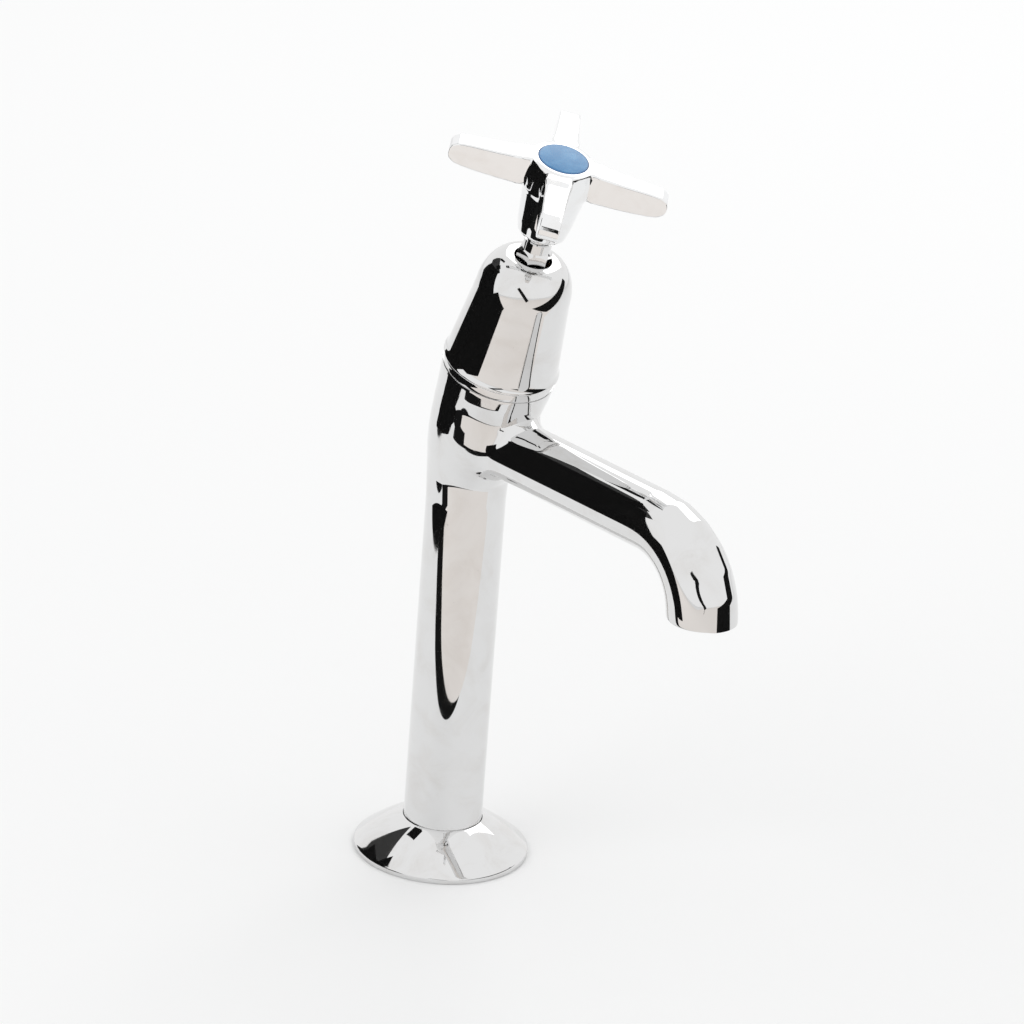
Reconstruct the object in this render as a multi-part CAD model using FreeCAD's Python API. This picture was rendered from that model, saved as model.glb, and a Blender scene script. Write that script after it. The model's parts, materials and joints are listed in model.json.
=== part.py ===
import FreeCAD, Part
import math
import os

# A single long-neck pillar tap with a cross handle. Millimetres, +Z up.
# The origin is on the pillar's axis at the underside of the foot, and the spout points along -Y.
# Head heights are measured along the leaning head axis from where it crosses the pillar's axis.

# Clearances
running_gap = 0.05            # radial, between a turning or sliding piece and its guide
thread_gap = 0.03             # radial, between the two halves of a screwed joint
push_gap = 0.05               # radial, between a piece and the recess it is pushed into
slip_gap = 0.15               # radial, round a piece that slips over another
bearing_gap = 0.1             # along the axis, between faces that close on each other
nut_hole_gap = 0.4            # radial, between the gland nut's corners and the cover's hole

# Pillar and inlet
pillar_radius = 13.5
pillar_bore_radius = 8.0
inlet_thread_radius = 9.3155  # minor radius of a G 1/2 female thread
inlet_thread_length = 16.0

# Leaning neck of the casting
lean_angle = 16.0
spout_rise = 14.8             # of the spout's centre line above the crossing of pillar and head
neck_start_drop = 8.0         # how far below the crossing the pillar starts to lean
neck_crossing_radius = 14.1
neck_low_height = 9.0
neck_low_radius = 16.2
neck_mid_height = 20.0
neck_mid_radius = 17.8
neck_high_height = 31.0
neck_high_radius = 18.5
rim_height = 42.0
rim_radius = 19.3

# Chamber, seat pocket and head socket
waterway_radius = 6.4
waterway_drop = 5.0           # how far the leaning waterway reaches below the seat
pillar_bore_end = 3.0         # below the crossing
seat_pocket_depth = 4.0
chamber_floor_radius = 11.0
chamber_low_radius = 12.2
chamber_low_rise = 5.0
chamber_top_radius = 14.0
socket_length = 15.0
socket_thread_radius = 10.48  # major radius of a G 1/2 thread
counterbore_radius = 14.8
collar_radius = 17.4          # screwed collar that carries the cover
collar_height = 8.0

# Spout
spout_height = 155.6
spout_radius = 10.7
spout_bore_radius = 7.6
spout_reach = 117.3           # from the pillar's axis to the centre of the mouth
bend_radius = 25.2            # centre line of the down-turned end
nozzle_radius = 12.0
mouth_edge_round = 0.6        # round on the outer edge of the mouth
mouth_recess_radius = 9.4
mouth_recess_depth = 5.0
root_blend_radius = 3.0       # fillet between the spout and the neck
bend_steps = 6

# Base flange, its gasket and its rubber grip ring
flange_radius = 30.0
flange_foot_bevel = 0.5
flange_rim_height = 1.8
flange_height = 12.5
flange_bulge = 0.6            # how far the dome stands out of the straight line from rim to pillar
flange_wall = 1.4
flange_collar_wall = 4.2
grip_ring_section = 2.6
grip_ring_bevel = 0.6
grip_groove_rise = 1.6        # from the collar's underside to the groove
grip_groove_play = 0.4
gasket_thickness = 2.0
gasket_edge_gap = 2.4

# Cover and the ring under it
ring_height = 3.0
ring_radius = 19.1
cover_lip_radius = 19.8
cover_lip_height = 0.9
cover_lip_bevel = 0.45
cover_flare_height = 3.4
cover_low_radius = 18.95
cover_shoulder_radius = 16.1
cover_shoulder_height = 29.0
cover_height = 42.6
cover_wall = 1.5
cover_top_land = 0.9          # flat round the cover's hole

# Seat and valve
seat_outer_radius = 7.5
seat_bore_radius = 5.0
seat_height = 6.0
seat_shoulder_rise = 0.5
seat_lip_width = 1.2
seat_lip_bevel = 0.3
washer_radius = 6.6
washer_thickness = 4.0
washer_hole_radius = 1.9
washer_bevel = 0.4
jumper_disc_radius = 7.3
jumper_disc_thickness = 2.6
jumper_stem_radius = 3.0
jumper_stem_length = 18.0
jumper_stem_bevel = 0.5
jumper_cup_depth = 1.0
stem_bore_spare = 1.5
stud_end = 0.6                # stud left standing out of the washer nut
nut_washer_radius = 3.6
nut_washer_thickness = 0.8
washer_nut_across_flats = 6.4
washer_nut_height = 2.4

# Bonnet
headwork_washer_thickness = 1.0
headwork_washer_radius = 13.6
bonnet_thread_length = 13.5
bonnet_hex_across_flats = 24.0
bonnet_hex_height = 9.0
bonnet_barrel_radius = 11.0
bonnet_headroom = 2.6         # between the bonnet's top and the inside of the cover
bonnet_nose_radius = 9.2
bonnet_nose_length = 9.0
packing_chamber_radius = 7.0
packing_chamber_depth = 14.0
packing_floor_thickness = 3.0

# Spindle and its travel
turns_to_open = 2.0
screw_lead = 3.0
stop_gap = 0.3                # left above the spindle's collar when the tap is fully open
spindle_radius = 3.9
spindle_thread_radius = 6.2
spindle_thread_length = 26.0
spindle_tip_radius = 5.4
square_side = 6.2
square_length = 9.5
spindle_tapped_depth = 14.0

# Gland
packing_ring_count = 2
packing_ring_height = 2.0
follower_height = 1.2
gland_hex_corner_radius = 6.0
gland_hex_stand = 2.6         # height of the hexagon's flats above the cover
gland_cone_height = 1.4
gland_collar_radius = 4.8
gland_collar_height = 3.5
gland_shoulder_height = 0.8   # of the shank above the bonnet

# Handle
hub_gap = 3.3                 # between the gland nut's top and the closed handle
hub_bottom_radius = 8.3
hub_waist_height = 11.5
hub_waist_radius = 10.1
hub_shoulder_radius = 11.4
hub_height = 28.6
hub_top_radius = 9.0
hub_recess_radius = 6.0
hub_recess_depth = 6.0
handle_span = 73.6            # across two opposite arms
arm_root_width = 8.9          # where the arm leaves the hub
arm_tip_width = 7.4
arm_root_height = 9.6
arm_tip_height = 7.6
arm_top_drop = 1.3            # from the hub's top to the root of the arms
arm_droop = 1.6               # fall of the arms' upper side from root to tip
arm_mid_droop = 0.5           # the same, half way out
arm_end_round = 1.2
arm_root_blend = 3.0          # radius of the blend between the hub and an arm's sides
arm_plan_turn = 45.0
arm_count = 4
hub_web_thickness = 3.0
index_recess_radius = 8.0
index_recess_depth = 3.4
screw_recess_radius = 6.6
screw_recess_depth = 3.6

# Handle screw and index button
screw_radius = 2.0            # M4
screw_length = 14.0
screw_head_radius = 3.7
screw_head_height = 2.4
screw_slot_width = 1.0
screw_slot_depth = 1.2
screw_washer_radius = 4.4
screw_washer_thickness = 0.8
button_thickness = 2.0
button_stand = 0.2            # of the button's edge above the hub
button_crown = 0.6
button_bevel_width = 2.2
button_skirt_wall = 1.0

# Flow straightener
straightener_height = 4.2
straightener_wall = 1.3
grid_hole_side = 1.8
grid_web = 0.6

# Places that follow from the sizes above
lift = turns_to_open * screw_lead
head_crossing = spout_height - spout_rise
neck_start = head_crossing - neck_start_drop
chamber_floor = seat_pocket_depth
chamber_top = rim_height - socket_length
seat_top = seat_height
washer_bottom = seat_top + bearing_gap
washer_top = washer_bottom + washer_thickness
jumper_top = washer_top + jumper_disc_thickness
bonnet_shoulder = rim_height + headwork_washer_thickness
bonnet_bottom = bonnet_shoulder - headwork_washer_thickness - bonnet_thread_length
cover_bottom = rim_height + ring_height
cover_top = cover_bottom + cover_height
bonnet_top = cover_top - cover_wall - bonnet_headroom
packing_floor = bonnet_top - packing_chamber_depth
bore_ceiling = packing_floor - packing_floor_thickness
spindle_bottom = jumper_top + bearing_gap
spindle_collar_top = bore_ceiling - stop_gap - lift
spindle_thread_bottom = spindle_collar_top - spindle_thread_length
packing_top = packing_floor + packing_ring_count * packing_ring_height
follower_top = packing_top + follower_height
gland_flats_top = cover_top + gland_hex_stand
gland_cone_top = gland_flats_top + gland_cone_height
gland_top = gland_cone_top + gland_collar_height
hub_bottom = gland_top + hub_gap
hub_top = hub_bottom + hub_height
index_floor = hub_top - index_recess_depth
screw_floor = index_floor - screw_recess_depth
spindle_top = screw_floor - hub_web_thickness - bearing_gap
arm_root_top = hub_top - arm_top_drop
bend_start = spout_reach - bend_radius
mouth_height = spout_height - bend_radius
flange_bore_radius = pillar_radius + slip_gap
quarter_turn = math.pi / 2
diagonal = math.sqrt(0.5)     # sine and cosine of half a quarter turn
bend_angles = [quarter_turn * step / bend_steps for step in range(bend_steps + 1)]


def vector(x, y, z):
    return FreeCAD.Vector(x, y, z)


UP = vector(0, 0, 1)
FORWARD = vector(0, -1, 0)
ORIGIN = vector(0, 0, 0)


def cylinder(radius, bottom, top):
    return Part.makeCylinder(radius, top - bottom, vector(0, 0, bottom))


def tube(inner_radius, outer_radius, bottom, top):
    return cylinder(outer_radius, bottom, top).cut(cylinder(inner_radius, bottom, top))


def turned(edges):
    """Solid of revolution about Z of a closed outline drawn in the XZ plane."""
    return Part.Face(Part.Wire(edges)).revolve(ORIGIN, UP, 360)


def profile(*corners):
    """Edges of an open line through (radius, height) corners."""
    points = [vector(radius, 0, height) for radius, height in corners]
    return [Part.LineSegment(start, end).toShape() for start, end in zip(points, points[1:])]


def turned_corners(*corners):
    return turned(profile(*corners, corners[0]))


def arc(start, middle, end):
    """Arc through three (radius, height) points."""
    return Part.Arc(*[vector(radius, 0, height) for radius, height in (start, middle, end)]).toShape()


def prism(across_flats, bottom, top, sides=6):
    """Regular prism on the Z axis, with a corner towards +Y."""
    corner_radius = across_flats / 2 / math.cos(math.pi / sides)
    points = []
    for index in range(sides + 1):
        angle = 2 * math.pi * index / sides + math.pi / 2
        points.append(vector(corner_radius * math.cos(angle), corner_radius * math.sin(angle), bottom))
    return Part.Face(Part.makePolygon(points)).extrude(vector(0, 0, top - bottom))


def bar(side, bottom, top):
    return Part.makeBox(side, side, top - bottom, vector(-side / 2, -side / 2, bottom))


def on_head(shape):
    """Moves a piece drawn upright at the origin onto the leaning head axis."""
    placed = shape.copy()
    placed.rotate(ORIGIN, vector(1, 0, 0), lean_angle)
    placed.translate(vector(0, 0, head_crossing))
    return placed


def spout_section(angle, radius):
    """Circle across the spout's bend, where the angle runs from 0 (level) to a quarter turn (down)."""
    forward = bend_start + bend_radius * math.sin(angle)
    centre = vector(0, -forward, mouth_height + bend_radius * math.cos(angle))
    direction = vector(0, -math.cos(angle), -math.sin(angle))
    return Part.Wire(Part.Circle(centre, direction, radius).toShape())


def neck_section(height, radius, lean=lean_angle):
    """Circle across the neck of the casting, leaning forward about the crossing."""
    circle = Part.Wire(Part.Circle(vector(0, 0, height), UP, radius).toShape())
    circle.rotate(ORIGIN, vector(1, 0, 0), lean)
    circle.translate(vector(0, 0, head_crossing))
    return circle


def spout_skin():
    straight = Part.makeCylinder(spout_radius, bend_start, vector(0, 0, spout_height), FORWARD)
    swell = nozzle_radius - spout_radius
    sections = [spout_section(angle, spout_radius + swell * math.sin(angle)) for angle in bend_angles]
    return straight, Part.makeLoft(sections, True, False)


def casting_skin():
    pillar = cylinder(pillar_radius, 0, neck_start)
    neck = Part.makeLoft([
        neck_section(-neck_start_drop, pillar_radius, 0),
        neck_section(0, neck_crossing_radius, lean_angle / 2),
        neck_section(neck_low_height, neck_low_radius),
        neck_section(neck_mid_height, neck_mid_radius),
        neck_section(neck_high_height, neck_high_radius),
        neck_section(rim_height, rim_radius)], True, False)
    collar = on_head(cylinder(collar_radius, rim_height, rim_height + collar_height))
    straight, bend = spout_skin()
    return pillar.fuse([neck, straight, bend, collar]).removeSplitter()


def head_hollow():
    """Seat pocket, chamber, thread and counterbore, from the waterway up."""
    shoulder = chamber_top - (chamber_top_radius - socket_thread_radius)
    return on_head(turned_corners(
        (0, -waterway_drop),
        (waterway_radius, -waterway_drop),
        (waterway_radius, 0),
        (seat_outer_radius + push_gap, 0),
        (seat_outer_radius + push_gap, chamber_floor),
        (chamber_floor_radius, chamber_floor),
        (chamber_low_radius, chamber_floor + chamber_low_rise),
        (chamber_top_radius, shoulder),
        (socket_thread_radius, chamber_top),
        (socket_thread_radius, rim_height),
        (counterbore_radius, rim_height),
        (counterbore_radius, rim_height + collar_height),
        (0, rim_height + collar_height)))


def pillar_hollow():
    taper = inlet_thread_radius - pillar_bore_radius
    return turned_corners(
        (0, 0),
        (inlet_thread_radius, 0),
        (inlet_thread_radius, inlet_thread_length),
        (pillar_bore_radius, inlet_thread_length + taper),
        (pillar_bore_radius, head_crossing - pillar_bore_end),
        (0, head_crossing - pillar_bore_end))


def spout_hollow():
    start = vector(0, -pillar_bore_radius, spout_height)
    length = bend_start - pillar_bore_radius
    straight = Part.makeCylinder(spout_bore_radius, length, start, FORWARD)
    bend = Part.makeLoft([spout_section(angle, spout_bore_radius) for angle in bend_angles], True, True)
    recess = cylinder(mouth_recess_radius, mouth_height, mouth_height + mouth_recess_depth)
    recess.translate(vector(0, -spout_reach, 0))
    return straight.fuse([bend, recess])


def root_edges(skin):
    """Edges where the spout leaves the neck and the pillar."""
    low = spout_height - spout_radius - root_blend_radius
    high = spout_height + spout_radius + root_blend_radius
    found = []
    for edge in skin.Edges:
        box = edge.BoundBox
        level_with_spout = low < box.ZMin and box.ZMax < high
        if level_with_spout and -bend_start < box.YMin and box.YMax < 0:
            found.append(edge)
    return found


def mouth_edges(skin):
    """Edges round the open end of the nozzle."""
    found = []
    for edge in skin.Edges:
        box = edge.BoundBox
        if box.YMax < -bend_start and box.ZMax < mouth_height + mouth_edge_round:
            found.append(edge)
    return found


def tap_body():
    skin = casting_skin()
    skin = skin.makeFillet(root_blend_radius, root_edges(skin))
    skin = skin.makeFillet(mouth_edge_round, mouth_edges(skin))
    return skin.cut(pillar_hollow()).cut(head_hollow()).cut(spout_hollow())


def flange_dome():
    """Circle arc of the flange's outer side, from the rim to the pillar."""
    rim = (flange_radius, flange_rim_height)
    top = (flange_bore_radius, flange_height)
    run = rim[0] - top[0]
    rise = top[1] - rim[1]
    chord = math.hypot(run, rise)
    middle_radius = (rim[0] + top[0]) / 2 + flange_bulge * rise / chord
    middle_height = (rim[1] + top[1]) / 2 + flange_bulge * run / chord
    return arc(rim, (middle_radius, middle_height), top)


def base_flange():
    dome = flange_dome()
    centre = dome.Curve.Center
    under = dome.Curve.Radius - flange_wall

    def underside(radius):
        return (radius, centre.z + math.sqrt(under ** 2 - (radius - centre.x) ** 2))

    collar = flange_bore_radius + flange_collar_wall
    rim = flange_radius - flange_wall
    outline = profile(
        (flange_bore_radius, flange_height),
        (flange_bore_radius, gasket_thickness),
        (collar, gasket_thickness),
        underside(collar),
        underside(rim),
        (rim, 0),
        (flange_radius - flange_foot_bevel, 0),
        (flange_radius, flange_foot_bevel),
        (flange_radius, flange_rim_height))
    outline.append(dome)
    groove_bottom = gasket_thickness + grip_groove_rise
    groove_radius = pillar_radius + grip_ring_section + 2 * push_gap
    groove = cylinder(groove_radius, groove_bottom, groove_bottom + grip_ring_section + grip_groove_play)
    return turned(outline).cut(groove)


def flange_grip_ring():
    inner = pillar_radius + push_gap
    outer = inner + grip_ring_section
    bottom = gasket_thickness + grip_groove_rise + grip_groove_play / 2
    top = bottom + grip_ring_section
    return turned_corners(
        (inner, bottom + grip_ring_bevel),
        (inner + grip_ring_bevel, bottom),
        (outer - grip_ring_bevel, bottom),
        (outer, bottom + grip_ring_bevel),
        (outer, top - grip_ring_bevel),
        (outer - grip_ring_bevel, top),
        (inner + grip_ring_bevel, top),
        (inner, top - grip_ring_bevel))


def base_gasket():
    outer = flange_radius - flange_wall - gasket_edge_gap
    return tube(pillar_radius + slip_gap, outer, 0, gasket_thickness)


def cover_ring():
    return on_head(tube(collar_radius + thread_gap, ring_radius, rim_height, cover_bottom))


def easy_clean_cover():
    hole = gland_hex_corner_radius + nut_hole_gap
    land = hole + cover_top_land
    shoulder = cover_bottom + cover_shoulder_height
    inner_shoulder = cover_shoulder_radius - cover_wall
    middle_radius = land + (cover_shoulder_radius - land) * diagonal
    middle_height = shoulder + (cover_top - shoulder) * diagonal
    collar = collar_radius + thread_gap
    collar_top = rim_height + collar_height + bearing_gap
    flare_top = cover_bottom + cover_flare_height
    taper = (cover_low_radius - cover_shoulder_radius) / (shoulder - flare_top)
    inner_low = cover_low_radius - taper * (collar_top - flare_top) - cover_wall
    outline = [arc((cover_shoulder_radius, shoulder), (middle_radius, middle_height), (land, cover_top))]
    outline += profile(
        (land, cover_top),
        (hole, cover_top),
        (hole, cover_top - cover_wall),
        (middle_radius - cover_wall * diagonal, middle_height - cover_wall * diagonal),
        (inner_shoulder, shoulder),
        (inner_low, collar_top),
        (collar, collar_top),
        (collar, cover_bottom),
        (cover_lip_radius - cover_lip_bevel, cover_bottom),
        (cover_lip_radius, cover_bottom + cover_lip_height / 2),
        (cover_lip_radius, cover_bottom + cover_lip_height),
        (cover_low_radius, flare_top),
        (cover_shoulder_radius, shoulder))
    return on_head(turned(outline))


def valve_seat():
    lip = seat_bore_radius + seat_lip_width
    crest = seat_top - seat_lip_bevel
    return on_head(turned_corners(
        (seat_bore_radius, 0),
        (seat_outer_radius, 0),
        (seat_outer_radius, chamber_floor + seat_shoulder_rise),
        (lip, chamber_floor + seat_shoulder_rise),
        (lip, crest),
        (lip - seat_lip_bevel, seat_top),
        (seat_bore_radius + seat_lip_bevel, seat_top),
        (seat_bore_radius, crest)))


def tap_washer():
    return on_head(turned_corners(
        (washer_hole_radius, washer_bottom),
        (washer_radius - washer_bevel, washer_bottom),
        (washer_radius, washer_bottom + washer_bevel),
        (washer_radius, washer_top),
        (washer_hole_radius, washer_top)))


def jumper():
    stud = washer_hole_radius - push_gap
    stud_bottom = washer_bottom - nut_washer_thickness - washer_nut_height - stud_end
    cup = washer_radius + push_gap
    stem_top = jumper_top + jumper_stem_length
    return on_head(turned_corners(
        (0, stud_bottom),
        (stud, stud_bottom),
        (stud, washer_top),
        (cup, washer_top),
        (cup, washer_top - jumper_cup_depth),
        (jumper_disc_radius, washer_top - jumper_cup_depth),
        (jumper_disc_radius, jumper_top),
        (jumper_stem_radius, jumper_top),
        (jumper_stem_radius, stem_top - jumper_stem_bevel),
        (jumper_stem_radius - jumper_stem_bevel, stem_top),
        (0, stem_top)))


def nut_washer():
    bottom = washer_bottom - nut_washer_thickness
    return on_head(tube(washer_hole_radius, nut_washer_radius, bottom, washer_bottom))


def washer_nut():
    top = washer_bottom - nut_washer_thickness
    bottom = top - washer_nut_height
    nut = prism(washer_nut_across_flats, bottom, top)
    return on_head(nut.cut(cylinder(washer_hole_radius, bottom, top)))


def headwork_washer():
    return on_head(tube(socket_thread_radius, headwork_washer_radius, rim_height, bonnet_shoulder))


def bonnet():
    hex_top = bonnet_shoulder + bonnet_hex_height
    thread = cylinder(socket_thread_radius - thread_gap, bonnet_bottom, bonnet_shoulder)
    hexagon = prism(bonnet_hex_across_flats, bonnet_shoulder, hex_top)
    barrel = cylinder(bonnet_barrel_radius, hex_top, bonnet_top - bonnet_nose_length)
    nose = cylinder(bonnet_nose_radius, bonnet_top - bonnet_nose_length, bonnet_top)
    bore = cylinder(spindle_thread_radius + running_gap, bonnet_bottom, bore_ceiling)
    neck_hole = cylinder(spindle_radius + running_gap, bore_ceiling, packing_floor)
    chamber = cylinder(packing_chamber_radius, packing_floor, bonnet_top)
    return on_head(thread.fuse([hexagon, barrel, nose]).cut(bore).cut(neck_hole).cut(chamber))


def spindle():
    square_bottom = spindle_top - square_length
    tip = cylinder(spindle_tip_radius, spindle_bottom, spindle_thread_bottom)
    thread = cylinder(spindle_thread_radius, spindle_thread_bottom, spindle_collar_top)
    shank = cylinder(spindle_radius, spindle_collar_top, square_bottom)
    round_end = cylinder(spindle_radius, square_bottom, spindle_top)
    square = round_end.common(bar(square_side, square_bottom, spindle_top))
    stem_bore_top = jumper_top + jumper_stem_length + stem_bore_spare
    stem_bore = cylinder(jumper_stem_radius + running_gap, spindle_bottom, stem_bore_top)
    tapped_hole = cylinder(screw_radius, spindle_top - spindle_tapped_depth, spindle_top)
    return on_head(tip.fuse([thread, shank, square]).cut(stem_bore).cut(tapped_hole))


def gland_ring(bottom, top):
    return tube(spindle_radius + running_gap, packing_chamber_radius - push_gap, bottom, top)


def gland_packing():
    rings = []
    for index in range(packing_ring_count):
        bottom = packing_floor + index * packing_ring_height
        rings.append(gland_ring(bottom, bottom + packing_ring_height))
    return on_head(Part.makeCompound(rings))


def packing_follower():
    return on_head(gland_ring(packing_top, follower_top))


def gland_nut():
    shoulder = bonnet_top + gland_shoulder_height
    shank = cylinder(packing_chamber_radius - thread_gap, follower_top, shoulder)
    flats = 2 * gland_hex_corner_radius * math.cos(math.pi / 6)
    envelope = turned_corners(
        (0, bonnet_top),
        (gland_hex_corner_radius, bonnet_top),
        (gland_hex_corner_radius, gland_flats_top),
        (gland_collar_radius, gland_cone_top),
        (0, gland_cone_top))
    hexagon = prism(flats, bonnet_top, gland_cone_top).common(envelope)
    collar = cylinder(gland_collar_radius, gland_cone_top, gland_top)
    bore = cylinder(spindle_radius + slip_gap, follower_top, gland_top)
    return on_head(shank.fuse([hexagon, collar]).cut(bore))


def arm_blend():
    """Start, middle and end, on the +Y side, of the arc that leads from the hub into an arm along +X."""
    centre_y = arm_root_width / 2 + arm_root_blend
    to_centre = hub_waist_radius + arm_root_blend
    centre_x = math.sqrt(to_centre ** 2 - centre_y ** 2)
    start = (centre_x * hub_waist_radius / to_centre, centre_y * hub_waist_radius / to_centre)
    half_turn = math.atan2(centre_x, centre_y) / 2
    middle_x = centre_x - arm_root_blend * math.sin(half_turn)
    middle_y = centre_y - arm_root_blend * math.cos(half_turn)
    return start, (middle_x, middle_y), (centre_x, arm_root_width / 2)


def arm_plan(level):
    """Outline of one arm along +X, seen from above."""
    reach = handle_span / 2
    tip_half = arm_tip_width / 2
    tip_centre = reach - tip_half
    near_start, near_middle, near_end = [vector(x, -y, level) for x, y in arm_blend()]
    far_start, far_middle, far_end = [vector(x, y, level) for x, y in arm_blend()]
    near_tip = vector(tip_centre, -tip_half, level)
    far_tip = vector(tip_centre, tip_half, level)
    centre = vector(0, 0, level)
    return [
        Part.LineSegment(centre, near_start).toShape(),
        Part.Arc(near_start, near_middle, near_end).toShape(),
        Part.LineSegment(near_end, near_tip).toShape(),
        Part.Arc(near_tip, vector(reach, 0, level), far_tip).toShape(),
        Part.LineSegment(far_tip, far_end).toShape(),
        Part.Arc(far_end, far_middle, far_start).toShape(),
        Part.LineSegment(far_start, centre).toShape()]


def arm_side():
    """Outline of one arm along +X, seen from the side."""
    reach = handle_span / 2
    bottom = arm_root_top - arm_root_height
    tip_top = arm_root_top - arm_droop
    tip_bottom = tip_top - arm_tip_height
    middle = ((hub_top_radius + reach) / 2, arm_root_top - arm_mid_droop)
    corner_bite = arm_end_round * (1 - diagonal)
    outline = [
        arc((hub_top_radius, arm_root_top), middle, (reach - arm_end_round, tip_top)),
        arc((reach - arm_end_round, tip_top), (reach - corner_bite, tip_top - corner_bite),
            (reach, tip_top - arm_end_round))]
    outline += profile(
        (reach, tip_top - arm_end_round),
        (reach, tip_bottom + arm_end_round),
        (reach - arm_end_round, tip_bottom),
        (hub_shoulder_radius, bottom),
        (0, bottom),
        (0, arm_root_top),
        (hub_top_radius, arm_root_top))
    return outline


def arm():
    """One arm along +X: its outline from above crossed with its outline from the side."""
    bottom = arm_root_top - arm_root_height
    from_above = Part.Face(Part.Wire(arm_plan(bottom))).extrude(vector(0, 0, arm_root_height))
    side_face = Part.Face(Part.Wire(arm_side()))
    breadth = from_above.BoundBox.YLength
    side_face.translate(vector(0, -breadth / 2, 0))
    return from_above.common(side_face.extrude(vector(0, breadth, 0)))


def cross_handle():
    waist = hub_bottom + hub_waist_height
    hub = turned_corners(
        (0, hub_bottom),
        (hub_bottom_radius, hub_bottom),
        (hub_waist_radius, waist),
        (hub_shoulder_radius, arm_root_top - arm_root_height),
        (hub_waist_radius, arm_root_top),
        (hub_top_radius, hub_top),
        (0, hub_top))
    arms = []
    for index in range(arm_count):
        turned_arm = arm()
        turned_arm.rotate(ORIGIN, UP, arm_plan_turn + index * 360 / arm_count)
        arms.append(turned_arm)
    recess_top = hub_bottom + hub_recess_depth
    square_bottom = spindle_top - square_length
    web_bottom = screw_floor - hub_web_thickness
    square_hole = bar(square_side + 2 * push_gap, square_bottom, web_bottom)
    hollows = [
        cylinder(hub_recess_radius, hub_bottom, recess_top),
        cylinder(spindle_radius + push_gap, recess_top, square_bottom),
        square_hole.common(cylinder(spindle_radius + push_gap, square_bottom, web_bottom)),
        cylinder(screw_radius + slip_gap, web_bottom, screw_floor),
        cylinder(screw_recess_radius, screw_floor, index_floor),
        cylinder(index_recess_radius, index_floor, hub_top)]
    body = hub.fuse(arms)
    for hollow in hollows:
        body = body.cut(hollow)
    return on_head(body.removeSplitter())


def screw_washer():
    top = screw_floor + screw_washer_thickness
    return on_head(tube(screw_radius + slip_gap, screw_washer_radius, screw_floor, top))


def handle_screw():
    seat = screw_floor + screw_washer_thickness
    head_top = seat + screw_head_height
    head = cylinder(screw_head_radius, seat, head_top)
    shank = cylinder(screw_radius - thread_gap, seat - screw_length, seat)
    slot = Part.makeBox(
        2 * screw_head_radius,
        screw_slot_width,
        screw_slot_depth,
        vector(-screw_head_radius, -screw_slot_width / 2, head_top - screw_slot_depth))
    return on_head(head.fuse(shank).cut(slot))


def index_button():
    """Shallow cap with a bevelled edge and a skirt that stands on the recess's ledge."""
    radius = index_recess_radius - push_gap
    skirt = radius - button_skirt_wall
    underside = hub_top - button_thickness
    edge = hub_top + button_stand
    return on_head(turned_corners(
        (skirt, index_floor),
        (radius, index_floor),
        (radius, edge),
        (radius - button_bevel_width, edge + button_crown),
        (0, edge + button_crown),
        (0, underside),
        (skirt, underside)))


def flow_straightener():
    bottom = mouth_height + mouth_recess_depth - straightener_height
    top = mouth_height + mouth_recess_depth
    radius = mouth_recess_radius - push_gap
    clear_radius = radius - straightener_wall
    pitch = grid_hole_side + grid_web
    reach = int(clear_radius // pitch)
    holes = []
    for column in range(-reach, reach + 1):
        for row in range(-reach, reach + 1):
            far_x = abs(column) * pitch + grid_hole_side / 2
            far_y = abs(row) * pitch + grid_hole_side / 2
            if math.hypot(far_x, far_y) < clear_radius:
                hole = bar(grid_hole_side, bottom, top)
                hole.translate(vector(column * pitch, row * pitch, 0))
                holes.append(hole)
    insert = cylinder(radius, bottom, top).cut(Part.makeCompound(holes))
    insert.translate(vector(0, -spout_reach, 0))
    return insert


pieces = [
    tap_body, base_flange, flange_grip_ring, base_gasket, cover_ring, easy_clean_cover, valve_seat,
    tap_washer, jumper, nut_washer, washer_nut, headwork_washer, bonnet, spindle, gland_packing,
    packing_follower, gland_nut, cross_handle, screw_washer, handle_screw, index_button,
    flow_straightener]

os.makedirs("parts", exist_ok=True)
for piece in pieces:
    shape = piece()
    shape.exportStep(os.path.join("parts", piece.__name__ + ".step"))
    print(piece.__name__, len(shape.Solids), "solid", round(shape.Volume, 1), "mm3", shape.isValid())
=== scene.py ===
# A long-neck pillar tap with a cross handle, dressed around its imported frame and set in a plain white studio.
import bmesh
import bpy
import json
import math
from mathutils import Matrix, Vector
from mathutils.bvhtree import BVHTree


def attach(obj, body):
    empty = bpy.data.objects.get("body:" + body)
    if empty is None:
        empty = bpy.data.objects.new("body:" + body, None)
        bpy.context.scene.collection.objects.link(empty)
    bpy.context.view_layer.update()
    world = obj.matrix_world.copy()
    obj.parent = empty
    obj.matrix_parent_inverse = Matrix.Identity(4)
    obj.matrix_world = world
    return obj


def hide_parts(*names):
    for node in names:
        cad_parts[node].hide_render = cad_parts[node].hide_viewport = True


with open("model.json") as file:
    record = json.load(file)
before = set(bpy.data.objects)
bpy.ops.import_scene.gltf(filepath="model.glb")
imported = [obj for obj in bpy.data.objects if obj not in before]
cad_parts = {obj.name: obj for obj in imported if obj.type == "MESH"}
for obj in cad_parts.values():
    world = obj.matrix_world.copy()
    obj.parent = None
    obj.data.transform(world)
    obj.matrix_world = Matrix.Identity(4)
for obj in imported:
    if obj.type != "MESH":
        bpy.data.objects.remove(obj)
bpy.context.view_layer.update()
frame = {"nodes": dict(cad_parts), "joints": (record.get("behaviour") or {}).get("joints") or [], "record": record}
print("frame loaded:", len(frame["nodes"]), "nodes")

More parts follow.
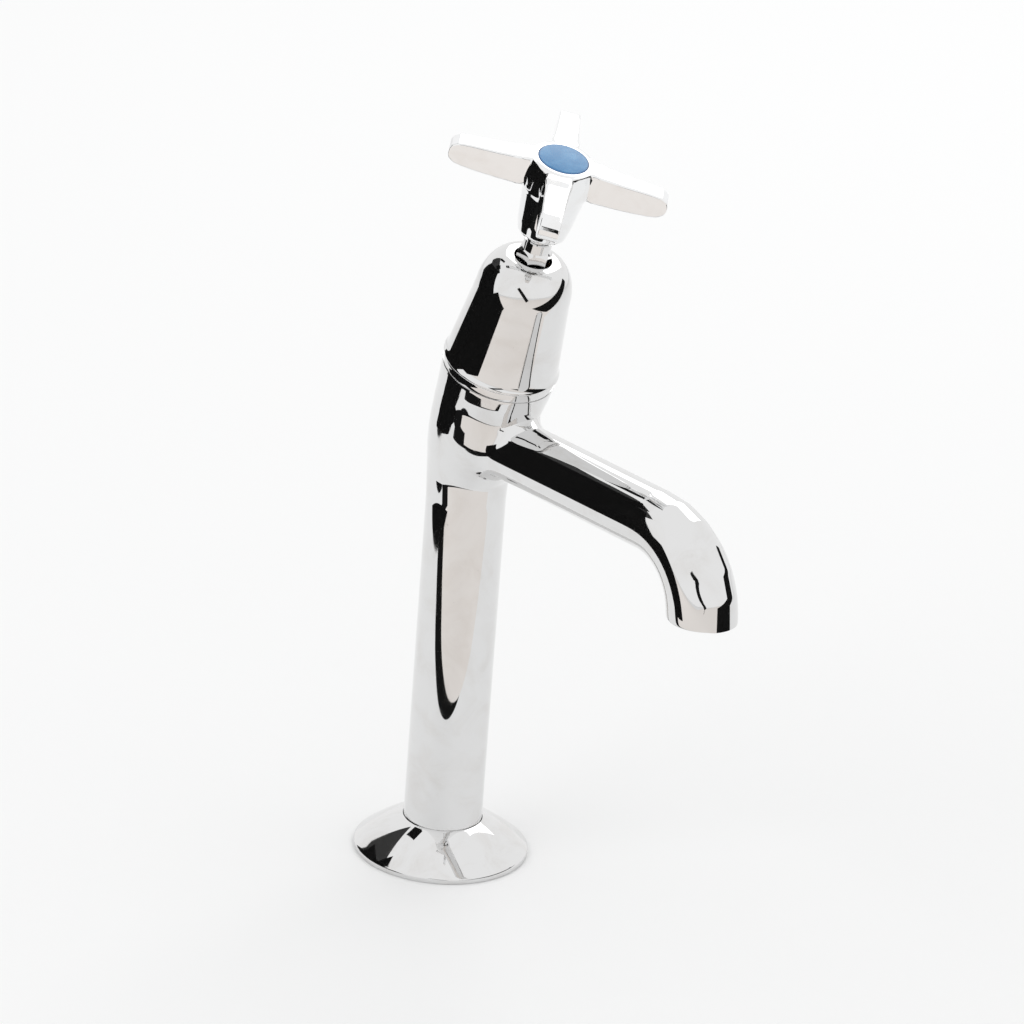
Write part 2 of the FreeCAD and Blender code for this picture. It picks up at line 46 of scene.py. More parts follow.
mm = 0.001
mergeWithin = 0.002                                  # mm, when a finished outline's doubles are merged
handleTurn = [joint for joint in frame["joints"] if joint["name"] == "handle_turn"][0]
headAxis = Vector(handleTurn["axis"]).normalized()
headFoot = Vector(handleTurn["pos_m"])               # where the leaning head meets the pillar's axis
headLean = math.atan2(-headAxis.y, headAxis.z)       # forwards, about X
fromHead = Matrix.Rotation(-headLean, 4, "X") @ Matrix.Translation(-headFoot)


def dropSelection():
    if bpy.context.mode != "OBJECT":
        bpy.ops.object.mode_set(mode="OBJECT")
    bpy.ops.object.select_all(action="DESELECT")


def startRing(name, radius, height, sides, fill="NOTHING"):
    dropSelection()
    bpy.ops.mesh.primitive_circle_add(vertices=sides, radius=radius * mm, fill_type=fill)
    piece = bpy.context.object
    piece.name = name
    piece.data.name = name
    bpy.ops.object.mode_set(mode="EDIT")
    bpy.ops.mesh.select_mode(type="EDGE")
    bpy.ops.mesh.select_all(action="SELECT")
    bpy.ops.transform.translate(value=(0, 0, height * mm))
    return piece


def pullRing(now, new):                              # rings are (centre, tilt about X, radius)
    centre, tilt, radius = new
    bpy.ops.mesh.extrude_region_move(TRANSFORM_OT_translate={"value": centre - now[0]})
    if tilt != now[1]:
        bpy.ops.transform.rotate(value=now[1] - tilt, orient_axis="X", center_override=centre)
    if radius != now[2]:
        bpy.ops.transform.resize(value=[radius / now[2]] * 3, center_override=centre)


def turnedPiece(name, outline, sides=96, capped=False):
    radius, height = outline[0]
    piece = startRing(name, radius, height, sides, "NGON" if capped else "NOTHING")
    now = (Vector((0, 0, height * mm)), 0, radius * mm)
    for radius, height in outline[1:]:
        new = (Vector((0, 0, height * mm)), 0, radius * mm)
        pullRing(now, new)
        now = new
    if capped:
        bpy.ops.mesh.edge_face_add()
    closeMesh(piece)
    return piece


def closeMesh(piece):
    bpy.ops.mesh.select_all(action="SELECT")
    bpy.ops.mesh.remove_doubles(threshold=mergeWithin * mm)
    bpy.ops.mesh.normals_make_consistent(inside=False)
    if bmesh.from_edit_mesh(piece.data).calc_volume(signed=True) < 0:
        bpy.ops.mesh.flip_normals()                  # a deep hollow can turn the whole skin inside out
    bpy.ops.object.mode_set(mode="OBJECT")


def useModifier(piece, kind, **values):
    bpy.context.view_layer.objects.active = piece
    modifier = piece.modifiers.new(kind.title(), kind)
    for key, value in values.items():
        setattr(modifier, key, value)
    bpy.ops.object.modifier_apply(modifier=modifier.name)


def roundEdges(piece, width, segments=3, sharperThan=35):
    useModifier(piece, "BEVEL", width=width * mm, segments=segments, limit_method="ANGLE",
                angle_limit=math.radians(sharperThan), use_clamp_overlap=True)


def shadeByAngle(piece, angle=35):
    dropSelection()
    piece.select_set(True)
    bpy.context.view_layer.objects.active = piece
    bpy.ops.object.shade_smooth_by_angle(angle=math.radians(angle))


def seatOnHead(piece):
    dropSelection()
    piece.select_set(True)
    bpy.context.view_layer.objects.active = piece
    piece.rotation_euler = (headLean, 0, 0)
    piece.location = headFoot
    bpy.ops.object.transform_apply(location=True, rotation=True, scale=True)


# a circle's arc that stands out to the left of the way from start to end
def arcPoints(start, end, bulge, steps):
    chord = Vector(end) - Vector(start)
    half = chord.length / 2
    radius = (half ** 2 + bulge ** 2) / (2 * bulge)
    outward = Vector((-chord.y, chord.x)).normalized()
    centre = (Vector(start) + Vector(end)) / 2 + outward * (bulge - radius)
    sweep = math.asin(half / abs(radius))
    points = []
    for step in range(1, steps + 1):
        angle = -sweep + 2 * sweep * step / steps
        along = chord.normalized() * math.sin(angle) * abs(radius)
        points.append(tuple(centre + along + outward * radius * math.cos(angle)))
    return points


# a quarter of an ellipse, upright at its start and level at its end
def ellipsePoints(start, end, steps):
    points = []
    for step in range(1, steps + 1):
        angle = math.pi / 2 * step / steps
        radius = end[0] + (start[0] - end[0]) * math.cos(angle)
        points.append((radius, start[1] + (end[1] - start[1]) * math.sin(angle)))
    return points


def selectFaces(piece, wanted):
    mesh = bmesh.from_edit_mesh(piece.data)
    bpy.ops.mesh.select_mode(type="FACE")
    bpy.ops.mesh.select_all(action="DESELECT")
    for face in mesh.faces:
        if wanted(face.calc_center_median()):
            face.select_set(True)
    bmesh.update_edit_mesh(piece.data)
    return mesh


casting = {                                          # mm; heights in the head are along its leaning axis
    "sides": 16,
    "levels": 3,
    "pillarRadius": 13.5,
    "boreRadius": 8.0,
    "boreTop": 118.0,
    "inletRadius": 9.3155,
    "inletDepth": 16.0,
    "pillarRings": (0.4, 4, 60, 108, 122, 131),
    "crossingRadius": 14.0,
    "neckRings": (                                   # height, radius
        (8.5, 16.2), (14.4, 17.2), (20.3, 17.8), (26.2, 18.2), (32.1, 18.55), (37.5, 18.95), (41.4, 19.3),
    ),
    "rimHeight": 42.0,
    "rimRadius": 19.3,
    "collarRadius": 17.4,
    "collarTop": 50.0,
    "hollow": (                                      # height, radius, down from the collar
        (50.0, 14.8), (42.0, 14.8), (42.0, 10.48), (27.0, 10.48), (23.5, 13.6),
        (9.0, 12.0), (4.0, 11.0), (4.0, 7.6), (0, 7.6),
    ),
    "rimCrease": 0.7,
    "spoutHeight": 155.6,
    "spoutRadius": 10.7,
    "spoutBore": 7.6,
    "patchRows": (8.5, 32.1),
    "patchHalfAngle": 45,
    "patchView": 60.0,                               # in front of the pillar, where the patch is seen from
    "rootRadius": 13.0,
    "rootStand": 3.6,
    "straightRings": (36, 60, 84, 92.1),
    "reach": 117.3,
    "bendRadius": 25.2,
    "bendSteps": 6,
    "nozzleRadius": 11.94,
    "mouthRings": ((11.5, 0), (9.9, 0), (9.4, 0.5), (9.4, 5.0), (7.6, 5.0), (7.6, 6.0)),
    "boreSteps": 3,
    "smoothBelow": 40,
}


def cage(radius, sides):                             # a ring of a subdivided cage shrinks by this much
    return radius * 3 / (2 + math.cos(2 * math.pi / sides))


def castShell(sizes):
    sides = sizes["sides"]
    bore = cage(sizes["boreRadius"], sides)
    inlet = cage(sizes["inletRadius"], sides)
    pillar = cage(sizes["pillarRadius"], sides)
    chamferTop = sizes["inletDepth"] + sizes["inletRadius"] - sizes["boreRadius"]
    upright = [(chamferTop, bore, 1), (sizes["inletDepth"], inlet, 1), (0, inlet, 1), (0, pillar, 1)]
    upright += [(height, pillar, 0) for height in sizes["pillarRings"]]
    rings = [(Vector((0, 0, height * mm)), 0, radius * mm, crease) for height, radius, crease in upright]
    rings.append((headFoot, headLean / 2, cage(sizes["crossingRadius"], sides) * mm, 0))
    leaning = [(height, radius, 0) for height, radius in sizes["neckRings"]]
    leaning.append((sizes["rimHeight"], sizes["rimRadius"], sizes["rimCrease"]))
    leaning.append((sizes["rimHeight"], sizes["collarRadius"], 1))
    leaning.append((sizes["collarTop"], sizes["collarRadius"], 1))
    leaning += [(height, radius, 1) for height, radius in sizes["hollow"]]
    for height, radius, crease in leaning:
        rings.append((headFoot + headAxis * height * mm, headLean, cage(radius, sides) * mm, crease))
    piece = startRing("tapCasting", bore, sizes["boreTop"], sides, "NGON")
    now = (Vector((0, 0, sizes["boreTop"] * mm)), 0, bore * mm)
    for ring in rings:
        pullRing(now, ring[:3])
        if ring[3]:
            bpy.ops.transform.edge_crease(value=ring[3])
        now = ring[:3]
    bpy.ops.mesh.edge_face_add()
    return piece


# the front of the neck, where the spout leaves it, gets a round outline
def roundPatch(piece, sizes):
    low, high = sizes["patchRows"]
    halfAngle = math.radians(sizes["patchHalfAngle"])

    def placeOf(point):
        local = fromHead @ point
        across = math.atan2(local.x, -local.y) / halfAngle
        up = (local.z / mm - (low + high) / 2) * 2 / (high - low)
        return across, up, math.hypot(local.x, local.y) / mm

    def inPatch(point):
        across, up, radius = placeOf(point)
        return abs(across) < 1 and abs(up) < 1 and radius > sizes["hollow"][0][1]

    mesh = selectFaces(piece, inPatch)
    skin = BVHTree.FromBMesh(mesh)
    corners = {corner for face in mesh.faces if face.select for corner in face.verts}
    moves = {}                                       # square places become round ones, on the same skin
    for corner in corners:
        across, up, radius = placeOf(corner.co)
        x = across * math.sqrt(1 - up * up / 2) * sizes["rootRadius"] * mm
        z = up * math.sqrt(1 - across * across / 2) * sizes["rootRadius"] * mm + sizes["spoutHeight"] * mm
        moves[corner] = skin.ray_cast(Vector((x, -sizes["patchView"] * mm, z)), Vector((0, 1, 0)))[0]
    for corner, place in moves.items():
        corner.co = place
    bmesh.update_edit_mesh(piece.data)


def drawSpout(piece, sizes):
    sides = sizes["sides"]
    level = sizes["spoutHeight"] * mm
    radius = cage(sizes["spoutRadius"], sides)
    narrower = radius / sizes["rootRadius"]
    bpy.ops.mesh.extrude_region_move(TRANSFORM_OT_translate={"value": (0, -sizes["rootStand"] * mm, 0)})
    bpy.ops.transform.resize(value=(narrower, 1, narrower), center_override=(0, 0, level))
    for distance in sizes["straightRings"]:
        bpy.ops.mesh.extrude_region_move(TRANSFORM_OT_translate={"value": (0, 0, 0)})
        bpy.ops.transform.resize(value=(1, 0, 1), center_override=(0, -distance * mm, level))
    start = sizes["reach"] - sizes["bendRadius"]
    pivot = Vector((0, -start * mm, level - sizes["bendRadius"] * mm))
    growth = sizes["nozzleRadius"] - sizes["spoutRadius"]
    step = math.pi / 2 / sizes["bendSteps"]
    now = sizes["spoutRadius"]
    for index in range(1, sizes["bendSteps"] + 1):
        angle = step * index
        centre = pivot + Vector((0, -math.sin(angle), math.cos(angle))) * sizes["bendRadius"] * mm
        new = sizes["spoutRadius"] + growth * math.sin(angle)
        bpy.ops.mesh.extrude_region_move(TRANSFORM_OT_translate={"value": (0, 0, 0)})
        bpy.ops.transform.rotate(value=-step, orient_axis="X", center_override=pivot)
        bpy.ops.transform.resize(value=[new / now] * 3, center_override=centre)
        now = new
    height = centre.z
    for radius, rise in sizes["mouthRings"]:
        lift = centre.z + rise * mm - height
        bpy.ops.mesh.extrude_region_move(TRANSFORM_OT_translate={"value": (0, 0, lift)})
        height = centre.z + rise * mm
        bpy.ops.transform.resize(value=(radius / now, radius / now, 1), center_override=centre)
        now = radius
    for index in range(sizes["boreSteps"]):          # the waterway turns back into the bend
        bpy.ops.mesh.extrude_region_move(TRANSFORM_OT_translate={"value": (0, 0, 0)})
        bpy.ops.transform.rotate(value=step, orient_axis="X", center_override=pivot)


def makeCasting(sizes):
    piece = castShell(sizes)
    roundPatch(piece, sizes)
    drawSpout(piece, sizes)
    closeMesh(piece)
    useModifier(piece, "SUBSURF", levels=sizes["levels"], render_levels=sizes["levels"])
    shadeByAngle(piece, sizes["smoothBelow"])
    return piece


tapCasting = makeCasting(casting)
print("casting:", len(tapCasting.data.polygons), "faces")

flange = {
    "radius": 30.0,
    "rimHeight": 1.8,
    "height": 12.5,
    "bore": 13.62,
    "bulge": 0.6,
    "wall": 1.4,
    "rimUnderside": 1.3,
    "recessStep": 12.0,                              # in from the rim to the gasket's recess
    "recessTop": 7.0,
    "neckBottom": 2.0,
    "domeSteps": 18,
    "sides": 128,
    "edge": 0.35,
}


def makeFlange(sizes):
    bore, radius, rim = sizes["bore"], sizes["radius"], sizes["rimHeight"]
    inner, step = radius - sizes["wall"], radius - sizes["recessStep"]
    outline = [(bore, sizes["neckBottom"]), (step, sizes["neckBottom"]), (step, sizes["recessTop"])]
    outline += [(inner, sizes["rimUnderside"]), (inner, 0), (radius, 0), (radius, rim)]
    outline += arcPoints((radius, rim), (bore, sizes["height"]), -sizes["bulge"], sizes["domeSteps"])
    outline.append(outline[0])
    piece = turnedPiece("baseFlange", outline, sizes["sides"])
    roundEdges(piece, sizes["edge"], 4)
    shadeByAngle(piece)
    return piece


baseFlange = makeFlange(flange)

cover = {
    "bottom": 45.0,
    "lipRadius": 19.8,
    "lipHeight": 0.9,
    "lipEdge": 0.45,
    "flareTop": 48.4,
    "flareBulge": 0.16,
    "lowRadius": 18.95,
    "shoulder": 74.0,
    "shoulderRadius": 16.1,
    "top": 87.6,
    "landRadius": 7.3,
    "hole": 6.4,
    "wall": 1.5,
    "collar": 17.44,                                 # radius that fits over the casting's collar
    "collarTop": 50.1,
    "collarStep": 0.5,
    "sides": 128,
    "edge": 0.2,
}


def makeCover(sizes):
    bottom, lip, lipEdge, collar = sizes["bottom"], sizes["lipRadius"], sizes["lipEdge"], sizes["collar"]
    wall, top, under = sizes["wall"], sizes["top"], sizes["top"] - sizes["wall"]
    shoulder = (sizes["shoulderRadius"], sizes["shoulder"])
    innerShoulder = (sizes["shoulderRadius"] - wall, sizes["shoulder"])
    outline = [(collar, bottom), (lip - lipEdge, bottom)]
    outline += [(lip, bottom + lipEdge), (lip, bottom + sizes["lipHeight"])]
    outline += arcPoints(outline[-1], (sizes["lowRadius"], sizes["flareTop"]), sizes["flareBulge"], 6)
    outline += [shoulder] + ellipsePoints(shoulder, (sizes["landRadius"], top), 20)
    outline += [(sizes["hole"], top), (sizes["hole"], under)]
    outline += ellipsePoints(innerShoulder, (sizes["hole"], under), 12)[-2::-1] + [innerShoulder]
    outline += [(collar - sizes["collarStep"], sizes["collarTop"]), (collar, sizes["collarTop"]), outline[0]]
    piece = turnedPiece("easyCleanCover", outline, sizes["sides"])
    roundEdges(piece, sizes["edge"], 3)
    seatOnHead(piece)
    shadeByAngle(piece)
    return piece


easyCleanCover = makeCover(cover)

ring = {"bottom": 42.0, "top": 45.0, "radius": 19.1, "bore": 17.44, "sides": 128, "edge": 0.25}


def makeRing(sizes):
    bore, radius, bottom, top = sizes["bore"], sizes["radius"], sizes["bottom"], sizes["top"]
    outline = [(bore, bottom), (radius, bottom), (radius, top), (bore, top), (bore, bottom)]
    piece = turnedPiece("coverRing", outline, sizes["sides"])
    roundEdges(piece, sizes["edge"], 3)
    seatOnHead(piece)
    shadeByAngle(piece)
    return piece


coverRing = makeRing(ring)
print("flange and cover turned")

gland = {
    "bottom": 74.0,
    "shoulder": 84.3,
    "shankRadius": 6.97,
    "hexCorner": 6.0,
    "flatsTop": 90.2,
    "coneTop": 91.6,
    "collarRadius": 4.8,
    "top": 95.1,
    "bore": 4.05,
    "overlap": 1.0,                                  # of the hexagon and its shank, before they are joined
    "proud": 0.02,                                   # of the round blank past the hexagon's corners
    "sides": 96,
    "edge": 0.12,
    "smoothBelow": 26,
}


def cutWith(piece, tool, operation):
    useModifier(piece, "BOOLEAN", object=tool, operation=operation, solver="EXACT")
    bpy.data.objects.remove(tool)


def makeGland(sizes):
    bore, corner, collar, shank = sizes["bore"], sizes["hexCorner"], sizes["collarRadius"], sizes["shankRadius"]
    bottom, shoulder, top, overlap = sizes["bottom"], sizes["shoulder"], sizes["top"], sizes["overlap"]
    blank = corner + sizes["proud"]
    outline = [(bore, shoulder - overlap), (blank, shoulder - overlap), (blank, sizes["flatsTop"])]
    outline += [(collar, sizes["coneTop"]), (collar, top), (bore, top)]
    piece = turnedPiece("glandNut", outline + outline[:1], sizes["sides"])
    hexagon = turnedPiece("hexagon", [(corner, shoulder - 2 * overlap), (corner, top + overlap)], 6, True)
    cutWith(piece, hexagon, "INTERSECT")
    outline = [(bore, bottom), (shank, bottom), (shank, shoulder), (bore, shoulder), (bore, bottom)]
    cutWith(piece, turnedPiece("shank", outline, sizes["sides"]), "UNION")
    roundEdges(piece, sizes["edge"], 2, 28)
    seatOnHead(piece)
    shadeByAngle(piece, sizes["smoothBelow"])
    return piece


glandNut = makeGland(gland)

spindle = {
    "bottom": 12.8,
    "tipRadius": 5.4,
    "threadBottom": 33.9,
    "threadTop": 59.9,
    "threadRadius": 6.2,
    "threadDepth": 0.7,
    "pitch": 3.0,
    "crest": (0.3, 1.1),                             # from each turn's foot: the crest's start and end
    "root": (1.7, 2.7),
    "shankRadius": 3.9,
    "squareBottom": 107.4,
    "squareRadius": 3.5,
    "top": 116.9,
    "sides": 64,
}


def makeSpindle(sizes):
    crest, root = sizes["threadRadius"], sizes["threadRadius"] - sizes["threadDepth"]
    shank, square, squareBottom = sizes["shankRadius"], sizes["squareRadius"], sizes["squareBottom"]
    outline = [(sizes["tipRadius"], sizes["bottom"]), (sizes["tipRadius"], sizes["threadBottom"])]
    height = sizes["threadBottom"]
    while height + sizes["pitch"] < sizes["threadTop"]:
        outline += [(crest, height + rise) for rise in sizes["crest"]]
        outline += [(root, height + rise) for rise in sizes["root"]]
        height += sizes["pitch"]
    outline += [(crest, height + sizes["crest"][0]), (crest, sizes["threadTop"]), (shank, sizes["threadTop"])]
    outline += [(shank, squareBottom), (square, squareBottom), (square, sizes["top"])]
    piece = turnedPiece("risingSpindle", outline, sizes["sides"], True)
    seatOnHead(piece)
    shadeByAngle(piece)
    return piece


risingSpindle = makeSpindle(spindle)
print("gland and spindle made")

handle = {
    "sides": 16,
    "levels": 3,
    "hubRings": (                                    # height, radius, crease
        (98.4, 6.6, 1), (98.4, 8.0, 0.6), (99.0, 8.35, 0), (103.0, 9.1, 0), (110.0, 10.0, 0), (114.5, 10.6, 0),
    ),
    "armBottom": 116.1,
    "armMiddle": 121.2,
    "armTop": 126.7,
    "armRingRadius": 11.0,
    "armTopStep": 0.4,
    "rimRadius": 9.3,
    "top": 127.0,
    "recessRadius": 8.6,
    "recessFloor": 123.6,
    "stations": (                                    # of each arm: reach, width, top, bottom
        (12.6, 9.6, 126.45, 116.0),
        (16, 8.7, 125.95, 115.8),
        (20.5, 8.1, 125.45, 115.7),
        (26, 7.6, 125.1, 115.8),
        (31, 7.3, 124.8, 116.15),
        (34.4, 7.1, 124.3, 116.7),
        (36.3, 6.9, 122.95, 118.1),
        (36.85, 6.7, 121.3, 119.8),
    ),
    "armHalfAngle": 22.5,
    "armTurn": 45.0,                                 # of the cross, so that it stands as in the photograph
    "edgeCrease": 0.45,
    "smoothBelow": 50,
}


def makeHandle(sizes):
    sides = sizes["sides"]
    root, recess = sizes["armRingRadius"], sizes["recessRadius"]
    rings = list(sizes["hubRings"]) + [(sizes["armBottom"], root, 0), (sizes["armMiddle"], root, 0)]
    rings += [(sizes["armTop"], root - sizes["armTopStep"], 0), (sizes["top"], sizes["rimRadius"], 0)]
    rings += [(sizes["top"], recess, 1), (sizes["recessFloor"], recess, 1)]
    height, radius, crease = rings[0]
    piece = startRing("crossHandle", cage(radius, sides), height, sides, "NGON")
    now = (Vector((0, 0, height * mm)), 0, cage(radius, sides) * mm)
    for height, radius, crease in rings[1:]:
        new = (Vector((0, 0, height * mm)), 0, cage(radius, sides) * mm)
        pullRing(now, new)
        if crease:
            bpy.ops.transform.edge_crease(value=crease)
        now = new
    bpy.ops.mesh.edge_face_add()
    for index in range(4):
        growArm(piece, sizes, index * math.pi / 2)
    creaseArms(piece, sizes)
    closeMesh(piece)
    useModifier(piece, "SUBSURF", levels=sizes["levels"], render_levels=sizes["levels"])
    dropSelection()
    piece.select_set(True)
    bpy.context.view_layer.objects.active = piece
    piece.rotation_euler = (0, 0, math.radians(sizes["armTurn"]))
    bpy.ops.object.transform_apply(rotation=True)
    seatOnHead(piece)
    shadeByAngle(piece, sizes["smoothBelow"])
    return piece


def growArm(piece, sizes, turn):
    outward = Vector((round(math.cos(turn)), round(math.sin(turn)), 0))
    across = Vector((-outward.y, outward.x, 0))
    halfAngle = math.radians(sizes["armHalfAngle"])

    def atRoot(point):
        reach = point.dot(outward)
        angle = math.atan2(point.dot(across), reach)
        level = sizes["armBottom"] < point.z / mm < sizes["armTop"]
        return level and abs(angle) < halfAngle and reach > sizes["recessRadius"] * mm

    selectFaces(piece, atRoot)
    flatten = Vector([0 if part else 1 for part in outward])
    width = 2 * cage(sizes["armRingRadius"], sizes["sides"]) * math.sin(halfAngle)
    top, bottom = sizes["armTop"], sizes["armBottom"]
    for reach, newWidth, newTop, newBottom in sizes["stations"]:
        middle = outward * reach * mm + Vector((0, 0, bottom * mm))
        bpy.ops.mesh.extrude_region_move(TRANSFORM_OT_translate={"value": (0, 0, 0)})
        bpy.ops.transform.resize(value=flatten, center_override=middle)
        tall = (newTop - newBottom) / (top - bottom)
        wide = newWidth / width
        grow = Vector([wide if part else 1 for part in across])
        grow.z = tall
        bpy.ops.transform.resize(value=grow, center_override=middle)
        bpy.ops.transform.translate(value=(0, 0, (newBottom - bottom) * mm))
        width, top, bottom = newWidth, newTop, newBottom


# each arm's side walls meet its top, end and underside in crisp edges
def creaseArms(piece, sizes):
    beyond = sizes["armRingRadius"] * mm
    mesh = bmesh.from_edit_mesh(piece.data)
    bpy.ops.mesh.select_mode(type="EDGE")
    bpy.ops.mesh.select_all(action="DESELECT")
    for edge in mesh.edges:
        middle = (edge.verts[0].co + edge.verts[1].co) / 2
        across = 1 if abs(middle.x) > abs(middle.y) else 0
        sideways = [abs(face.normal[across]) > 0.7 for face in edge.link_faces]
        if abs(middle[1 - across]) > beyond and len(sideways) == 2 and sideways[0] != sideways[1]:
            edge.select_set(True)
    bmesh.update_edit_mesh(piece.data)
    bpy.ops.transform.edge_crease(value=sizes["edgeCrease"])


crossHandle = makeHandle(handle)

button = {
    "radius": 8.5,
    "skirt": 1.0,
    "bottom": 123.7,
    "edge": 127.2,
    "crown": 0.55,
    "crownSteps": 12,
    "bevel": 0.35,
    "bevelMiddle": 0.1,
    "sides": 96,
}


def makeButton(sizes):
    radius, edge, bevel, middle = sizes["radius"], sizes["edge"], sizes["bevel"], sizes["bevelMiddle"]
    outline = [(radius - sizes["skirt"], sizes["bottom"]), (radius, sizes["bottom"])]
    outline += [(radius, edge - bevel), (radius - middle, edge - middle), (radius - bevel, edge)]
    for step in range(1, sizes["crownSteps"]):
        share = step / sizes["crownSteps"]
        outline.append(((radius - bevel) * (1 - share), edge + sizes["crown"] * (1 - (1 - share) ** 2)))
    piece = turnedPiece("indexButton", outline, sizes["sides"], True)
    seatOnHead(piece)
    shadeByAngle(piece, 60)
    return piece


indexButton = makeButton(button)
print("handle and index made")


def addNode(tree, kind, **values):                  # values go to the node's sockets, or else to its settings
    node = tree.nodes.new(kind)
    for key, value in values.items():
        name = key.replace("_", " ")
        if name in node.inputs:
            node.inputs[name].default_value = value
        else:
            setattr(node, key, value)
    return node


def shadeGroup(name, inputs, outputs):
    tree = bpy.data.node_groups.new(name, "ShaderNodeTree")
    for socketName, kind, value in inputs:
        socket = tree.interface.new_socket(name=socketName, in_out="INPUT", socket_type="NodeSocket" + kind)
        if value is not None:
            socket.default_value = value
    for socketName, kind in outputs:
        tree.interface.new_socket(name=socketName, in_out="OUTPUT", socket_type="NodeSocket" + kind)
    return tree, tree.nodes.new("NodeGroupInput"), tree.nodes.new("NodeGroupOutput")


# smears, water spots and buffing waves of a handled, polished surface
def buildHandling():
    sockets = [("Vector", "Vector", None), ("Smear Size", "Float", 90.0)]
    sockets += [("Spot Size", "Float", 420.0), ("Wave Size", "Float", 34.0)]
    results = (("Smear", "Float"), ("Spots", "Float"), ("Waves", "Float"))
    tree, given, made = shadeGroup("handling", sockets, results)
    link = tree.links.new
    smear = addNode(tree, "ShaderNodeTexNoise", Detail=5.0, Roughness=0.62, Distortion=0.8)
    link(given.outputs["Vector"], smear.inputs["Vector"])
    link(given.outputs["Smear Size"], smear.inputs["Scale"])
    smearRange = addNode(tree, "ShaderNodeMapRange", From_Min=0.42, From_Max=0.74)
    smearRange.interpolation_type = "SMOOTHSTEP"
    link(smear.outputs["Fac"], smearRange.inputs["Value"])
    spot = addNode(tree, "ShaderNodeTexVoronoi", Randomness=1.0)
    link(given.outputs["Vector"], spot.inputs["Vector"])
    link(given.outputs["Spot Size"], spot.inputs["Scale"])
    spotRange = addNode(tree, "ShaderNodeMapRange", From_Min=0.16, From_Max=0.08)
    link(spot.outputs["Distance"], spotRange.inputs["Value"])
    patch = addNode(tree, "ShaderNodeTexNoise", Detail=1.0)
    link(given.outputs["Vector"], patch.inputs["Vector"])
    link(given.outputs["Smear Size"], patch.inputs["Scale"])
    patchRange = addNode(tree, "ShaderNodeMapRange", From_Min=0.56, From_Max=0.66)
    link(patch.outputs["Fac"], patchRange.inputs["Value"])
    spots = addNode(tree, "ShaderNodeMath", operation="MULTIPLY")
    link(spotRange.outputs["Result"], spots.inputs[0])
    link(patchRange.outputs["Result"], spots.inputs[1])
    waves = addNode(tree, "ShaderNodeTexNoise", Detail=1.5, Roughness=0.35)
    link(given.outputs["Vector"], waves.inputs["Vector"])
    link(given.outputs["Wave Size"], waves.inputs["Scale"])
    link(smearRange.outputs["Result"], made.inputs["Smear"])
    link(spots.outputs["Value"], made.inputs["Spots"])
    link(waves.outputs["Fac"], made.inputs["Waves"])
    return tree


# fine grain and a few larger clouds, for cast, moulded and pressed stuff
def buildGrain():
    sockets = (("Vector", "Vector", None), ("Grain Size", "Float", 2500.0), ("Cloud Size", "Float", 160.0))
    tree, given, made = shadeGroup("grain", sockets, (("Grain", "Float"), ("Cloud", "Float")))
    link = tree.links.new
    grain = addNode(tree, "ShaderNodeTexNoise", Detail=3.0, Roughness=0.6)
    link(given.outputs["Vector"], grain.inputs["Vector"])
    link(given.outputs["Grain Size"], grain.inputs["Scale"])
    cloud = addNode(tree, "ShaderNodeTexNoise", Detail=4.0, Roughness=0.55)
    link(given.outputs["Vector"], cloud.inputs["Vector"])
    link(given.outputs["Cloud Size"], cloud.inputs["Scale"])
    link(grain.outputs["Fac"], made.inputs["Grain"])
    link(cloud.outputs["Fac"], made.inputs["Cloud"])
    return tree


handling = buildHandling()
grain = buildGrain()


def startMaterial(name, group, **sizes):
    material = bpy.data.materials.new(name)
    material.use_nodes = True
    tree = material.node_tree
    coordinates = addNode(tree, "ShaderNodeTexCoord")
    effect = addNode(tree, "ShaderNodeGroup", node_tree=group, **sizes)
    tree.links.new(coordinates.outputs["Object"], effect.inputs["Vector"])
    return material, tree, tree.nodes["Principled BSDF"], effect


def mixColours(tree, factor, first, second):
    mix = addNode(tree, "ShaderNodeMix", data_type="RGBA")
    mix.inputs[6].default_value = (*first, 1)
    mix.inputs[7].default_value = (*second, 1)
    tree.links.new(factor, mix.inputs[0])
    return mix.outputs[2]


def rangeOf(tree, value, low, high, start=0.0, end=1.0):
    span = addNode(tree, "ShaderNodeMapRange", From_Min=start, From_Max=end, To_Min=low, To_Max=high)
    tree.links.new(value, span.inputs["Value"])
    return span.outputs["Result"]


def addTogether(tree, first, second):
    total = addNode(tree, "ShaderNodeMath", operation="ADD")
    tree.links.new(first, total.inputs[0])
    tree.links.new(second, total.inputs[1])
    return total.outputs["Value"]


def bumpFrom(tree, shader, height, strength, distance):
    bump = addNode(tree, "ShaderNodeBump", Strength=strength, Distance=distance)
    tree.links.new(height, bump.inputs["Height"])
    tree.links.new(bump.outputs["Normal"], shader.inputs["Normal"])


chromePlate = {
    "clean": (0.76, 0.76, 0.76),
    "smeared": (0.71, 0.70, 0.69),
    "roughness": (0.018, 0.075),                     # polished, and under a smear
    "spotRoughness": 0.16,
    "smearSize": 62.0,
    "spotSize": 420.0,
    "waveSize": 30.0,
    "waveDepth": 0.00022,                            # metres
    "waveStrength": 0.6,
}
turnedPlate = {**chromePlate, "waveDepth": 0.00008, "waveSize": 45.0, "smearSize": 80.0}
# a lighter copy of the same chrome plate, painted brighter to stand in for the light that the handle catches
paintedLightHandlePlate = {                                      # the brightest of the metal in the photograph
    **chromePlate,
    "clean": (0.89, 0.895, 0.90),
    "smeared": (0.85, 0.845, 0.84),
    "waveDepth": 0.00018,
    "waveSize": 60.0,
    "smearSize": 120.0,
}


